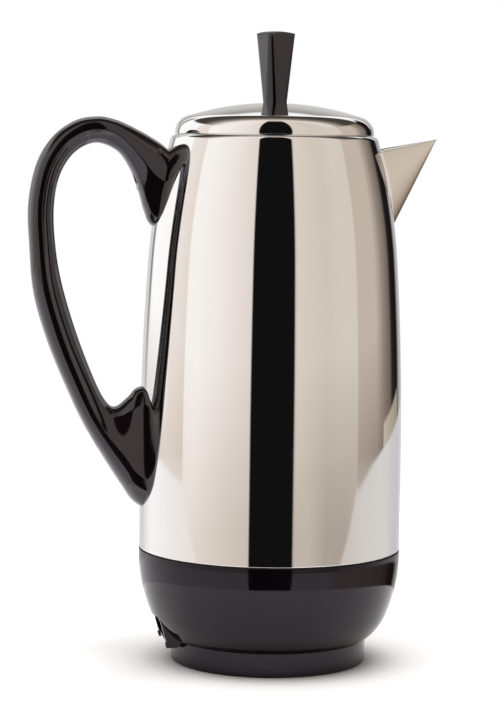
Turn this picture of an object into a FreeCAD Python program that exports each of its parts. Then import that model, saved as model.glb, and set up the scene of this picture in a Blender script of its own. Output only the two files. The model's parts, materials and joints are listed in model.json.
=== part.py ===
"""Electric coffee percolator as a parametric FreeCAD document.

Frame: the origin is the centre of the foot ring on the table, +Z is up, the spout points along +X and
the handle along -X. All sizes are in millimetres. The driving dimensions are in the spreadsheet "Sizes".
"""

import FreeCAD, Part
import math
import os

import Sketcher

V = FreeCAD.Vector
Z_AXIS = V(0, 0, 1)

DIMENSIONS = {
    # stainless vessel
    "steel": 0.8,
    "barrel_radius": 65.75,
    "barrel_straight_z": 105,
    "barrel_bend_radius": 62.43,
    "barrel_bend_z": 201.7,
    "barrel_lower_curve": 1400,
    "barrel_upper_curve": 297.5,
    "shoulder_radius": 52.59,
    "shoulder_z": 259.6,
    "shoulder_curve": 6,
    "neck_radius": 46,
    "neck_z": 264,
    "seam_z": 57.4,
    "spigot_radius": 60.5,
    "floor_z": 50,
    "floor_curve": 2.8,
    "strainer_hole": 1.3,
    "strainer_pitch": 5.2,
    "strainer_z": 235,
    # heater well
    "well_radius": 20,
    "well_z": 33,
    # spout
    "spout_reach": 83.9,
    "spout_tip_z": 263.1,
    "spout_rim_z": 255.6,
    "spout_rim_x": 46.8,
    "spout_rim_y": 21.5,
    "spout_low_x": 60.9,
    "spout_low_z": 217.1,
    "spout_fold": 1.0,
    # plastic base
    "plastic": 3,
    "base_radius": 65.9,
    "base_straight_z": 54.5,
    "base_bend_radius": 59.86,
    "base_bend_z": 24.4,
    "base_upper_curve": 78,
    "base_lower_curve": 28.8,
    "step_radius": 51,
    "step_z": 12.8,
    "foot_radius": 49.3,
    "foot_inner": 46,
    "ledge_radius": 43.5,
    "ledge_z": 8,
    "gasket": 0.8,
    "cover": 2,
    # mains inlet
    "inlet_half": 16,
    "inlet_wall": 2,
    "inlet_low_z": 9,
    "inlet_floor_z": 11.6,
    "inlet_high_z": 24.3,
    "inlet_low_x": 53.9,
    "inlet_high_x": 58,
    "inlet_back_x": 42,
    "pin_radius": 2.38,
    "pin_shank": 1.9,
    "pin_spacing": 17.46,
    "pin_z": 18.8,
    "pin_tip_x": 53,
    # lid
    "lid_radius": 49.6,
    "lid_apex_z": 280.3,
    "lid_dome_curve": 140,
    "lid_dome_radius": 43.5,
    "lid_dome_z": 273.4,
    "lid_edge_curve": 8.64,
    "lid_edge_z": 265.1,
    "lid_hem_z": 264.1,
    "skirt_radius": 45.5,
    "skirt_low_z": 254,
    "knob_foot": 11.3,
    "knob_top": 15.25,
    "knob_height": 35.3,
    "knob_crown": 1.6,
    "knob_turn": 20,
    "knob_corner": 2.2,
    "knob_foot_corner": 5,
    # pump
    "tube_radius": 3.6,
    "tube_bore": 2.8,
    "tube_top_z": 266,
    "bell_radius": 16.6,
    "bell_low_z": 33.05,
    "bell_neck_z": 58,
    "stop_radius": 6.2,
    "retainer_radius": 12.29,
    "valve_radius": 8,
    "valve_z": 41.6,
    "valve_travel": 3.4,
    # basket and spreader
    "basket_radius": 42,
    "basket_low_z": 190,
    "basket_top_z": 244,
    "sleeve_radius": 5,
    "sleeve_bore": 4.1,
    "hole_radius": 1.1,
    # handle
    "handle_screw_low_z": 112,
    "handle_screw_high_z": 240,
}

doc = FreeCAD.newDocument("percolator")
sheet = doc.addObject("Spreadsheet::Sheet", "Sizes")
for row, (alias, number) in enumerate(DIMENSIONS.items(), start=1):
    sheet.set(f"A{row}", alias)
    sheet.set(f"B{row}", str(number))
    sheet.setAlias(f"B{row}", alias)
doc.recompute()


class Size:
    """A length that knows its value and the spreadsheet expression that drives it."""

    def __init__(self, value, text):
        self.value = value
        self.text = text

    def __add__(self, other):
        other = size(other)
        return Size(self.value + other.value, f"({self.text} + {other.text})")

    def __sub__(self, other):
        other = size(other)
        return Size(self.value - other.value, f"({self.text} - {other.text})")

    def __mul__(self, factor):
        return Size(self.value * factor, f"({self.text} * {factor})")

    def __neg__(self):
        return Size(-self.value, f"(0 - {self.text})")


def size(item):
    """A spreadsheet cell by its alias, or a plain number, as a Size."""
    if isinstance(item, Size):
        return item
    if isinstance(item, str):
        return Size(float(sheet.get(item)), f"Sizes.{item}")
    return Size(float(item), repr(float(item)))


def value(item):
    return size(item).value


# ---------------------------------------------------------------- sketches and features

sub_parts = []


def new_body(label):
    body = doc.addObject("PartDesign::Body", label)
    body.Label = label
    sub_parts.append(body)
    return body


def new_sketch(body, role, offset=None):
    """A sketch on one of the body's origin planes, moved along the plane's normal by offset."""
    sketch = body.newObject("Sketcher::SketchObject", "Sketch")
    plane = [f for f in body.Origin.OriginFeatures if f.Role == role][0]
    sketch.AttachmentSupport = (plane, [""])
    sketch.MapMode = "FlatFace"
    if offset is not None:
        offset = size(offset)
        sketch.AttachmentOffset.Base = V(0, 0, offset.value)
        sketch.setExpression("AttachmentOffset.Base.z", offset.text)
    return sketch


def bind(sketch, kind, places, item):
    """A driving constraint whose value follows the spreadsheet."""
    item = size(item)
    index = sketch.addConstraint(Sketcher.Constraint(kind, *places, item.value))
    sketch.setExpression(f"Constraints[{index}]", item.text)


def pin_vertex(sketch, edge, end, x, y):
    """Fixes one end of an edge at (x, y) of the sketch."""
    bind(sketch, "DistanceX", (-1, 1, edge, end), x)
    bind(sketch, "DistanceY", (-1, 1, edge, end), y)


def arc_between(a, b, radius, bulge):
    """An arc from a to b of that radius. bulge +1 puts the centre left of a to b, so it turns left."""
    chord = b - a
    middle = (a + b) * 0.5
    height = math.sqrt(radius**2 - (chord.Length / 2) ** 2)
    left = V(-chord.y, chord.x, 0).normalize()
    centre = middle + left * height * bulge
    circle = Part.Circle(centre, Z_AXIS, radius)
    ends = [math.atan2(p.y - centre.y, p.x - centre.x) for p in (a, b)]
    if bulge < 0:
        ends.reverse()
    return Part.ArcOfCircle(circle, ends[0], ends[1])


def outline(sketch, corners):
    """Closes a chain of corners (x, y) or (x, y, radius), where a radius makes the edge that leaves
    the corner an arc: positive turns left along the chain, negative turns right."""
    points = [V(value(c[0]), value(c[1]), 0) for c in corners]
    count = len(corners)
    starts, ends = [], []
    for i, corner in enumerate(corners):
        a, b = points[i], points[(i + 1) % count]
        if len(corner) == 2:
            edge = sketch.addGeometry(Part.LineSegment(a, b))
            starts.append((edge, 1))
            ends.append((edge, 2))
            continue
        radius = size(corner[2])
        turn = 1 if radius.value > 0 else -1
        edge = sketch.addGeometry(arc_between(a, b, abs(radius.value), turn))
        bind(sketch, "Radius", (edge,), radius if turn > 0 else -radius)
        starts.append((edge, 1 if turn > 0 else 2))
        ends.append((edge, 2 if turn > 0 else 1))
    for i, corner in enumerate(corners):
        joint = (*ends[i - 1], *starts[i])
        sketch.addConstraint(Sketcher.Constraint("Coincident", *joint))
        pin_vertex(sketch, *starts[i], corner[0], corner[1])


def circle(sketch, x, y, radius):
    edge = sketch.addGeometry(Part.Circle(V(value(x), value(y), 0), Z_AXIS, value(radius)))
    bind(sketch, "Radius", (edge,), radius)
    pin_vertex(sketch, edge, 3, x, y)


def rectangle(sketch, x0, y0, x1, y1):
    outline(sketch, [(x0, y0), (x1, y0), (x1, y1), (x0, y1)])


def turned(label, corners):
    """A piece turned about the vertical axis from its half section in (radius, height)."""
    body = new_body(label)
    sketch = new_sketch(body, "XZ_Plane")
    outline(sketch, corners)
    spin = body.newObject("PartDesign::Revolution", "Turned")
    spin.Profile = sketch
    spin.ReferenceAxis = (sketch, ["V_Axis"])
    spin.Angle = 360
    doc.recompute()
    return body


def pad(body, sketch, length, both_ways=False, reverse=False):
    feature = body.newObject("PartDesign::Pad", "Pad")
    feature.Profile = sketch
    feature.setExpression("Length", size(length).text)
    feature.Midplane = both_ways
    feature.Reversed = reverse
    doc.recompute()
    return feature


def pocket(body, sketch, length, both_ways=False, reverse=False):
    """A pocket, checked to have taken material away."""
    before = body.Shape.Volume
    feature = body.newObject("PartDesign::Pocket", "Pocket")
    feature.Profile = sketch
    feature.setExpression("Length", size(length).text)
    feature.Midplane = both_ways
    feature.Reversed = reverse
    doc.recompute()
    if not body.Shape.Volume < before:
        raise ValueError(f"a pocket of {body.Label} cut nothing")
    return feature


def hole_ring(body, top_z, ring_radius, hole_radius, count, depth):
    """A ring of round holes down from top_z, as one pocket and its polar pattern."""
    sketch = new_sketch(body, "XY_Plane", top_z)
    circle(sketch, ring_radius, 0, hole_radius)
    seed = pocket(body, sketch, depth)
    before = body.Shape.Volume
    ring = body.newObject("PartDesign::PolarPattern", "HoleRing")
    ring.Originals = [seed]
    ring.Axis = (sketch, ["N_Axis"])
    ring.Angle = 360
    ring.Occurrences = count
    body.Tip = ring
    doc.recompute()
    if not body.Shape.Volume < before:
        raise ValueError(f"a hole ring of {body.Label} cut nothing")


def shaped(label, shape):
    """A piece whose shape comes from Part's own functions."""
    piece = doc.addObject("Part::Feature", label)
    piece.Label = label
    piece.Shape = shape
    sub_parts.append(piece)
    return piece


def round_bar(x0, x1, y, z, radius):
    """A round bar along X, as a plain shape."""
    low, high = sorted((x0, x1))
    return Part.makeCylinder(radius, high - low, V(low, y, z), V(1, 0, 0))


# ---------------------------------------------------------------- stainless vessel


def barrel_wall():
    """The outer outline of the vessel's wall from the mouth down to the seam."""
    return [
        ("neck_radius", "neck_z"),
        (size("neck_radius") + 0.8, "neck_z", -size("shoulder_curve")),
        ("shoulder_radius", "shoulder_z", -size("barrel_upper_curve")),
        ("barrel_bend_radius", "barrel_bend_z", -size("barrel_lower_curve")),
        ("barrel_radius", "barrel_straight_z"),
        ("barrel_radius", "seam_z"),
    ]


def inset(corners, start, end):
    """The same outline moved inwards by the steel's thickness along each corner's own normal.

    start and end are the directions of the first and last corner's inward normals."""
    return [
        (size(r) + size("steel") * n[0], size(z) + size("steel") * n[1])
        for (r, z), n in zip([c[:2] for c in corners], start + end)
    ]


def make_vessel():
    steel = size("steel")
    outer = barrel_wall()
    floor_z = size("floor_z")
    # unit normals that point into the vessel, at the two tangent points of the curved wall
    lean_top, lean_bend = (-0.9647, -0.2638), (-0.99763, -0.0689)
    inner = [
        (size("barrel_radius") - steel, size("seam_z") + steel),
        (size("barrel_radius") - steel, "barrel_straight_z", size("barrel_lower_curve") - steel),
        (
            size("barrel_bend_radius") + steel * lean_bend[0],
            size("barrel_bend_z") + steel * lean_bend[1],
            size("barrel_upper_curve") - steel,
        ),
        (
            size("shoulder_radius") + steel * lean_top[0],
            size("shoulder_z") + steel * lean_top[1],
            size("shoulder_curve") - steel,
        ),
        (size("neck_radius") + 0.8, size("neck_z") - steel),
        ("neck_radius", size("neck_z") - steel),
    ]
    spigot = size("spigot_radius")
    curve = size("floor_curve")
    foot = [
        (spigot, "seam_z"),
        (spigot, floor_z - steel + curve, -curve),
        (spigot - curve, floor_z - steel),
        ("well_radius", floor_z - steel),
        ("well_radius", floor_z),
        (spigot - curve, floor_z, curve - steel),
        (spigot - steel, floor_z + curve - steel),
        (spigot - steel, size("seam_z") + steel),
    ]
    body = turned("vessel_shell", outer + foot + inner)
    strainer = new_sketch(body, "YZ_Plane")
    rows = 4
    for row in range(rows):
        across = row + 2
        for column in range(across):
            y = size("strainer_pitch") * (column - (across - 1) / 2)
            z = size("strainer_z") + size("strainer_pitch") * (row * 0.87)
            circle(strainer, y, z, "strainer_hole")
    pocket(body, strainer, "spout_reach", reverse=True)
    return body


def vessel_envelope(grown=0):
    """The vessel's outside as a filled solid, to trim what is welded or screwed to its wall."""
    wall = barrel_wall()
    points = [V(value(c[0]) + grown, 0, value(c[1])) for c in wall]
    axis_top, axis_low = V(0, 0, points[0].z), V(0, 0, points[-1].z)
    edges = [Part.makeLine(axis_top, points[0])]
    for i, corner in enumerate(wall[:-1]):
        a, b = points[i], points[i + 1]
        if len(corner) == 2:
            edges.append(Part.makeLine(a, b))
            continue
        flat = arc_between(V(a.x, a.z, 0), V(b.x, b.z, 0), abs(value(corner[2])), -1)
        middle = flat.value((flat.FirstParameter + flat.LastParameter) / 2)
        edges.append(Part.Arc(a, V(middle.x, 0, middle.y), b).toShape())
    edges.append(Part.makeLine(points[-1], axis_low))
    edges.append(Part.makeLine(axis_low, axis_top))
    return Part.Face(Part.Wire(edges)).revolve(V(0, 0, 0), Z_AXIS, 360)


def make_heater_well():
    """The small cup welded into the floor, where the water first boils."""
    steel = size("steel")
    radius, low = size("well_radius"), size("well_z")
    return turned(
        "heater_well",
        [
            (0, low - steel),
            (radius - 3, low - steel, 3),
            (radius, low - steel + 3),
            (radius, "floor_z"),
            (radius - steel, "floor_z"),
            (radius - steel, low - steel + 3, -(size(3) - steel)),
            (radius - 3, low),
            (0, low),
        ],
    )


def make_spout(envelope):
    """A folded sheet beak: two flat cheeks that meet in a rounded keel, open at the top and the back,
    with a narrow flange where it laps the vessel's wall."""
    tip = V(value("spout_reach"), 0, value("spout_tip_z"))
    rim = V(value("spout_rim_x"), value("spout_rim_y"), value("spout_rim_z"))
    low = V(value("spout_low_x"), 0, value("spout_low_z"))
    back_x = 34

    def stretched(point):
        return tip + (point - tip) * ((tip.x - back_x) / (tip.x - point.x))

    near, keel = stretched(rim), stretched(low)
    far = V(near.x, -near.y, near.z)
    wedge = Part.makeLoft([Part.makePolygon([near, far, keel, near]), Part.Vertex(tip)], True, True)
    fold = [e for e in wedge.Edges if abs(e.CenterOfMass.y) < 1e-6 and e.CenterOfMass.x > back_x + 1]
    wedge = wedge.makeFillet(value("spout_fold"), fold)
    cheek = (near - tip).cross(keel - tip).normalize()
    inward = V(keel.z - tip.z, 0, tip.x - keel.x).normalize()

    def moved(distance):
        """The wedge moved square to its keel, so that each cheek moves by the distance."""
        copy = wedge.copy()
        copy.translate(inward * (distance / abs(cheek.dot(inward))))
        return copy

    hollow = moved(value("steel"))
    band = vessel_envelope(0.4).cut(envelope)
    flange = moved(-1.5).common(band).common(Part.makeBox(80, 120, 60, V(20, -60, 200)))
    flange = flange.cut(Part.makeBox(80, 120, 60, V(20, -60, value("spout_rim_z") + 1)))
    beak = wedge.cut(envelope).fuse(flange).cut(hollow).removeSplitter()
    return shaped("spout", beak)


# ---------------------------------------------------------------- lid and knob


def make_lid():
    steel = size("steel")
    dome, edge = size("lid_dome_curve"), size("lid_edge_curve")
    slope = (-0.3143, -0.9493)  # inward normal where the dome meets the rolled edge
    bore = 2.1
    turned(
        "lid_shell",
        [
            (bore, "lid_apex_z", -dome),
            ("lid_dome_radius", "lid_dome_z", -edge),
            ("lid_radius", "lid_edge_z"),
            ("lid_radius", "lid_hem_z"),
            (size("lid_radius") - steel, "lid_hem_z"),
            (size("lid_radius") - steel, "lid_edge_z", edge - steel),
            (
                size("lid_dome_radius") + steel * slope[0],
                size("lid_dome_z") + steel * slope[1],
                dome - steel,
            ),
            (bore, size("lid_apex_z") - steel),
        ],
    )
    skirt, flange_z = size("skirt_radius"), size("lid_hem_z")
    turned(
        "lid_skirt",
        [
            (skirt - steel, "skirt_low_z"),
            (skirt, "skirt_low_z"),
            (skirt, flange_z),
            (size("lid_radius") - steel, flange_z),
            (size("lid_radius") - steel, flange_z + steel),
            (skirt - steel, flange_z + steel),
        ],
    )


def rounded_square(side, corner, z, turn):
    """A square wire with round corners at height z, turned about the vertical axis."""
    flat = side / 2 - corner
    reach = corner * math.sqrt(0.5)
    half = side / 2
    edges = []
    for quarter in range(4):
        a, b = V(half, -flat, z), V(half, flat, z)
        bend = V(flat + reach, flat + reach, z)
        c = V(flat, half, z)
        pair = [Part.makeLine(a, b), Part.Arc(b, bend, c).toShape()]
        for edge in pair:
            edge.rotate(V(0, 0, 0), Z_AXIS, 90 * quarter + turn)
            edges.append(edge)
    return Part.Wire(edges)


def make_knob():
    """The tall flared knob: round at its foot, square with soft corners at its crowned top."""
    foot_z = value("lid_apex_z")
    height, crown = value("knob_height"), value("knob_crown")
    side, turn = value("knob_top"), value("knob_turn")
    foot = rounded_square(value("knob_foot"), value("knob_foot_corner"), foot_z, turn)
    top = rounded_square(side, value("knob_corner"), foot_z + height, turn)
    flare = Part.makeLoft([foot, top], True, True)
    reach = side / math.sqrt(2)
    ball = (reach**2 + crown**2) / (2 * crown)
    crown_ball = Part.makeSphere(ball, V(0, 0, foot_z + height - ball))
    knob = flare.common(crown_ball)
    bore = Part.makeCylinder(1.6, 14, V(0, 0, foot_z))
    shaped("lid_knob", knob.cut(bore))


def make_knob_fasteners():
    steel = size("steel")
    under = size("lid_apex_z") - steel - 0.26
    turned(
        "knob_washer",
        [(2.1, under - 1), (8, under - 1), (8, under), (2.1, under)],
    )
    head = under - 1
    turned(
        "knob_screw",
        [
            (0, head - 2.2),
            (2.4, head - 2.2, 1.6),
            (3.8, head - 0.9),
            (3.8, head),
            (1.6, head),
            (1.6, size("lid_apex_z") + 12),
            (0, size("lid_apex_z") + 12),
        ],
    )


# ---------------------------------------------------------------- pump, basket and spreader


def make_pump():
    bore, tube = size("tube_bore"), size("tube_radius")
    low, neck = size("bell_low_z"), size("bell_neck_z")
    steel = size("steel")
    turned("pump_tube", [(bore, neck), (tube, neck), (tube, "tube_top_z"), (bore, "tube_top_z")])
    bell = size("bell_radius")
    turned(
        "pump_foot",
        [
            (bell - steel, low),
            (bell, low),
            (bell, low + 4),
            (tube + steel, neck - 3),
            (tube + steel, neck + 4),
            (tube, neck + 4),
            (tube, neck),
            (bore, neck),
            (bore, neck - 3.6),
            (bell - steel, low + 3.6),
        ],
    )
    stop_z = size("basket_low_z") - 2.05
    turned(
        "basket_stop",
        [(tube, stop_z), ("stop_radius", stop_z + 1), ("stop_radius", stop_z + 2), (tube, stop_z + 2)],
    )
    retainer, rim = size("valve_z") - 1, size("retainer_radius")
    body = turned(
        "valve_retainer",
        [(0, retainer), (rim, retainer), (rim, retainer + 0.8), (0, retainer + 0.8)],
    )
    hole_ring(body, retainer + 0.8, 10.1, 1.6, 8, 1.6)
    turned(
        "pump_valve",
        [
            (0, "valve_z"),
            ("valve_radius", "valve_z"),
            ("valve_radius", size("valve_z") + 0.8),
            (0, size("valve_z") + 0.8),
        ],
    )


def make_basket():
    steel = size("steel")
    radius, low, top = size("basket_radius"), size("basket_low_z"), size("basket_top_z")
    corner = 4
    sleeve = size("sleeve_radius")
    body = turned(
        "basket_cup",
        [
            (sleeve, low),
            (radius - corner, low, corner),
            (radius, low + corner),
            (radius, top),
            (radius - steel, top),
            (radius - steel, low + corner, -(size(corner) - steel)),
            (radius - corner, low + steel),
            (sleeve, low + steel),
        ],
    )
    for ring, holes in ((11, 12), (17, 18), (23, 24), (29, 30), (35, 36)):
        hole_ring(body, low + steel, ring, "hole_radius", holes, steel * 2)
    turned("basket_sleeve", [("sleeve_bore", low), (sleeve, low), (sleeve, top), ("sleeve_bore", top)])


def make_spreader():
    """The perforated cover that lies on the basket and spreads the water over the grounds."""
    steel = size("steel")
    rest, radius = size("basket_top_z") + 0.05, size("basket_radius")
    hub = size("sleeve_bore")
    body = turned(
        "spreader_disc",
        [
            (hub, rest),
            (radius - steel - 0.5, rest),
            (radius + 0.4, rest),
            (radius + 0.4, rest + 3),
            (radius + 0.4 - steel, rest + 3),
            (radius + 0.4 - steel, rest + steel),
            (hub + steel, rest + steel),
            (hub + steel, rest + 7),
            (hub, rest + 7),
        ],
    )
    for ring, holes in ((12, 10), (20, 16), (28, 22), (36, 28)):
        hole_ring(body, rest + steel, ring, "hole_radius", holes, steel * 2)


# ---------------------------------------------------------------- base


def make_base_housing():
    """The bowl-shaped moulding with its stepped foot ring and the shroud of the mains inlet."""
    shell = size("plastic")
    top = size("seam_z") - size("gasket")
    lean = (-0.9226, 0.3859)  # inward normal where the two curves of the bowl meet
    body = turned(
        "base_housing",
        [
            (size("foot_inner") + 1, 0),
            (size("foot_radius") - 1, 0, 1),
            ("foot_radius", 1),
            ("foot_radius", size("step_z") - 0.9),
            (size("foot_radius") - 0.5, size("step_z") - 0.5),
            (size("foot_radius") - 0.5, "step_z"),
            ("step_radius", "step_z", "base_lower_curve"),
            ("base_bend_radius", "base_bend_z", "base_upper_curve"),
            ("base_radius", "base_straight_z"),
            ("base_radius", top),
            (size("base_radius") - shell, top),
            (size("base_radius") - shell, "base_straight_z", shell - size("base_upper_curve")),
            (
                size("base_bend_radius") + shell * lean[0],
                size("base_bend_z") + shell * lean[1],
                shell - size("base_lower_curve"),
            ),
            (size("step_radius") - shell * 0.72, size("step_z") + shell * 0.72),
            ("ledge_radius", size("step_z") + shell * 0.72),
            ("ledge_radius", "ledge_z"),
            ("foot_inner", "ledge_z"),
            ("foot_inner", 1),
        ],
    )
    half, wall = size("inlet_half"), size("inlet_wall")
    low_z, floor_z, high_z = size("inlet_low_z"), size("inlet_floor_z"), size("inlet_high_z")
    low_x, high_x, back = -size("inlet_low_x"), -size("inlet_high_x"), -size("inlet_back_x")
    shroud = new_sketch(body, "XZ_Plane")
    top = high_z + 1.6
    outline(shroud, [(back + wall, floor_z), (back + wall, top), (high_x, top), (low_x, floor_z)])
    pad(body, shroud, half * 2, both_ways=True)
    cheeks = new_sketch(body, "XZ_Plane")
    root = -size("foot_radius") + 3
    outline(
        cheeks,
        [(root - 2.1, low_z), (root, low_z + 2.4), (root, floor_z), (low_x - 0.7, floor_z), (low_x, low_z)],
    )
    pad(body, cheeks, half * 2, both_ways=True)
    between = new_sketch(body, "XZ_Plane")
    rectangle(between, -75, low_z - 1, -size("foot_radius") - 0.1, floor_z)
    pocket(body, between, (half - wall) * 2, both_ways=True)
    front = new_sketch(body, "XZ_Plane")
    outline(front, [(low_x, low_z - 2), (low_x, low_z), (high_x, high_z), (-75, high_z), (-75, low_z - 2)])
    pocket(body, front, half * 2, both_ways=True)
    socket = new_sketch(body, "YZ_Plane", back)
    rectangle(socket, wall - half, floor_z + 1.6, half - wall, high_z)
    pocket(body, socket, 25)
    holes = new_sketch(body, "YZ_Plane", back + wall)
    for side in (-0.5, 0.5):
        circle(holes, size("pin_spacing") * side, "pin_z", "pin_shank")
    pocket(body, holes, wall)
    return body


def make_base_fittings():
    seam, gasket = size("seam_z"), size("gasket")
    spigot = size("spigot_radius")
    turned(
        "seam_gasket",
        [
            (spigot, seam - gasket),
            (size("base_radius") - 0.7, seam - gasket),
            (size("base_radius") - 0.7, seam),
            (spigot, seam),
        ],
    )
    ledge, cover = size("ledge_z"), size("cover")
    stud, rim = 3, size("foot_inner") - 0.3
    turned("base_cover", [(stud, ledge - cover), (rim, ledge - cover), (rim, ledge), (stud, ledge)])
    washer = ledge - cover - 1
    turned("base_washer", [(stud, washer), (8, washer), (8, washer + 1), (stud, washer + 1)])
    make_nut("base_nut", washer - 3.6, 3.6)
    turned(
        "centre_stud",
        [(0, 0.8), (stud, 0.8), (stud, size("well_z") - "steel"), (0, size("well_z") - "steel")],
    )


def make_nut(label, low_z, height):
    """A hexagon nut on the centre stud, 10 mm across its flats."""
    body = new_body(label)
    sketch = new_sketch(body, "XY_Plane", low_z)
    reach = 10 / math.sqrt(3)
    corners = [(reach * math.cos(math.pi * k / 3), reach * math.sin(math.pi * k / 3)) for k in range(6)]
    outline(sketch, corners)
    circle(sketch, 0, 0, 3)
    pad(body, sketch, height)
    return body


# ---------------------------------------------------------------- heater and wiring


def make_heater():
    steel = size("steel")
    well = size("well_radius")
    under_well = size("well_z") - steel
    turned(
        "main_heater",
        [
            (well, under_well + 3),
            (well + 7, under_well + 3),
            (well + 7, under_well + 14),
            (well, under_well + 14),
        ],
    )
    turned(
        "heater_plate",
        [
            (3, under_well - 1.2),
            (well + 7, under_well - 1.2),
            (well + 7, under_well + 3),
            (well + 5.8, under_well + 3),
            (well + 5.8, under_well),
            (3, under_well),
        ],
    )
    make_nut("clamp_nut", under_well - 1.2 - 4, 4)
    under_floor = size("floor_z") - steel
    turned(
        "keep_warm_heater",
        [(31, under_floor - 2), (46, under_floor - 2), (46, under_floor), (31, under_floor)],
    )
    make_thermostat(value(under_floor) - 2)


def make_thermostat(top_z):
    """The snap disc thermostat under the keep-warm ring, with its flange and two blade terminals, and
    the thermal fuse beside it."""
    x = -38.5
    can = Part.makeCylinder(8, 8, V(x, 0, top_z - 9))
    flange = Part.makeCylinder(9, 1, V(x, 0, top_z - 1))
    body = can.fuse(flange)
    for y in (-4, 4):
        body = body.fuse(Part.makeBox(4.8, 0.8, 6, V(x - 2.4, y - 0.4, top_z - 15)))
    shaped("thermostat", body.removeSplitter())
    shaped("thermal_fuse", Part.makeCylinder(2, 14, V(-7, 38, top_z - 2), V(1, 0, 0)))


def wire_tube(label, radius, points):
    """A lead whose route is straight runs with arcs as large as the runs allow, as one tube."""
    edges, last = [], points[0]
    for before, corner, after in zip(points, points[1:], points[2:]):
        run = min((corner - before).Length, (after - corner).Length)
        into, out = (corner - before).normalize(), (after - corner).normalize()
        turn = into.getAngle(out)
        reach = 0.45 * run
        bend = reach / math.tan(turn / 2)
        start, end = corner - into * reach, corner + out * reach
        inward = (out - into).normalize()
        middle = corner + inward * (bend / math.cos(turn / 2) - bend)
        edges += [Part.makeLine(last, start), Part.Arc(start, middle, end).toShape()]
        last = end
    edges.append(Part.makeLine(last, points[-1]))
    path = Part.Wire(edges)
    along = (points[1] - points[0]).normalize()
    section = Part.Wire(Part.makeCircle(radius, points[0], along))
    tube = path.makePipeShell([section], True, False)
    return shaped(label, tube)


def make_inlet():
    """The insulating block behind the socket and its two contact pins, each on a thinner shank."""
    back = -value("inlet_back_x") + value("inlet_wall")
    pin, shank, z = value("pin_radius"), value("pin_shank"), value("pin_z")
    block = Part.makeBox(6, 28, 11, V(back, -14, z - 5.5))
    for side, label in ((-0.5, "inlet_pin_line"), (0.5, "inlet_pin_neutral")):
        y = value("pin_spacing") * side
        bar = round_bar(-value("pin_tip_x"), -value("inlet_back_x"), y, z, pin)
        tip = [e for e in bar.Edges if e.CenterOfMass.x < -value("pin_tip_x") + 1e-3]
        tail = round_bar(-value("inlet_back_x"), back + 9, y, z, shank)
        shaped(label, bar.makeFillet(1.2, tip).fuse(tail).removeSplitter())
        block = block.cut(round_bar(back - 1, back + 7, y, z, shank))
    shaped("inlet_block", block)


def make_wiring():
    """The four leads: inlet to thermostat, thermostat to heater, inlet to fuse and fuse to heater."""
    lead = 1.1
    x, y, z = value("inlet_wall") - value("inlet_back_x") + 9, value("pin_spacing") / 2, value("pin_z")
    ring = value("floor_z") - value("steel") - 2
    blade, fuse = ring - 12.7, ring - 2
    routes = {
        "wire_line": [
            V(x, -y, z), V(x + 7, -y, z), V(x + 6, -y - 6, z + 9), V(-38.5, -14, blade), V(-38.5, -4.4, blade)
        ],
        "wire_heater": [
            V(-38.5, 4.4, blade), V(-38.5, 13, blade), V(-29, 25, 30), V(-27, 23.3, 40), V(-20.5, 17.7, 40)
        ],
        "wire_neutral": [
            V(x, y, z), V(x + 10, y, z), V(-21, 34, 20), V(-19, 38, fuse), V(-7, 38, fuse)
        ],
        "wire_fuse": [V(7, 38, fuse), V(16, 38, fuse), V(16, 29, 40), V(12.9, 23.8, 40)],
    }
    for label, points in routes.items():
        wire_tube(label, lead, points)


# ---------------------------------------------------------------- handle

# Stations along the handle from the upper root to the lower one: the outer point and the inner point
# (x, z), the half width across, the share of the depth at which the back ends in a crease, and the
# share of the depth and of the half width at which the flank ends.
HANDLE_STATIONS = (
    ((-44, 248), (-50, 217), 10, 0.41, 0.88, 0.88),
    ((-55.5, 258.1), (-61.4, 218.6), 10.4, 0.42, 0.88, 0.86),
    ((-61.9, 262.3), (-65.2, 226), 10.6, 0.44, 0.87, 0.82),
    ((-67.5, 265.4), (-68.1, 236), 10.6, 0.46, 0.85, 0.78),
    ((-74, 268.6), (-71.9, 245.7), 10.6, 0.48, 0.83, 0.74),
    ((-80.5, 271), (-78.2, 254.7), 10.5, 0.49, 0.82, 0.72),
    ((-88.6, 272.2), (-87.7, 259), 10.5, 0.5, 0.82, 0.72),
    ((-99.6, 270), (-95.8, 257), 10.5, 0.5, 0.82, 0.72),
    ((-110.6, 262), (-102.6, 251), 10.6, 0.5, 0.82, 0.72),
    ((-118.6, 248.6), (-107.6, 241), 10.7, 0.5, 0.82, 0.72),
    ((-122.6, 229), (-109.8, 227), 10.8, 0.5, 0.82, 0.72),
    ((-121.9, 208.5), (-109, 209), 10.8, 0.5, 0.82, 0.72),
    ((-119.6, 184.5), (-105.7, 190), 10.9, 0.5, 0.82, 0.72),
    ((-112.3, 159.8), (-98.4, 165.6), 11, 0.5, 0.82, 0.72),
    ((-102.3, 135.8), (-89.2, 142), 11.4, 0.5, 0.82, 0.72),
    ((-94, 118.6), (-83.3, 131.2), 12, 0.46, 0.82, 0.72),
    ((-85, 103.6), (-78.4, 128.6), 13.2, 0.4, 0.83, 0.7),
    ((-76.2, 90), (-72, 133.6), 14.4, 0.33, 0.84, 0.66),
    ((-69.4, 80.6), (-67.6, 138), 14.8, 0.28, 0.85, 0.6),
    ((-58, 74), (-57, 139.6), 14, 0.26, 0.86, 0.56),
)


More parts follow.
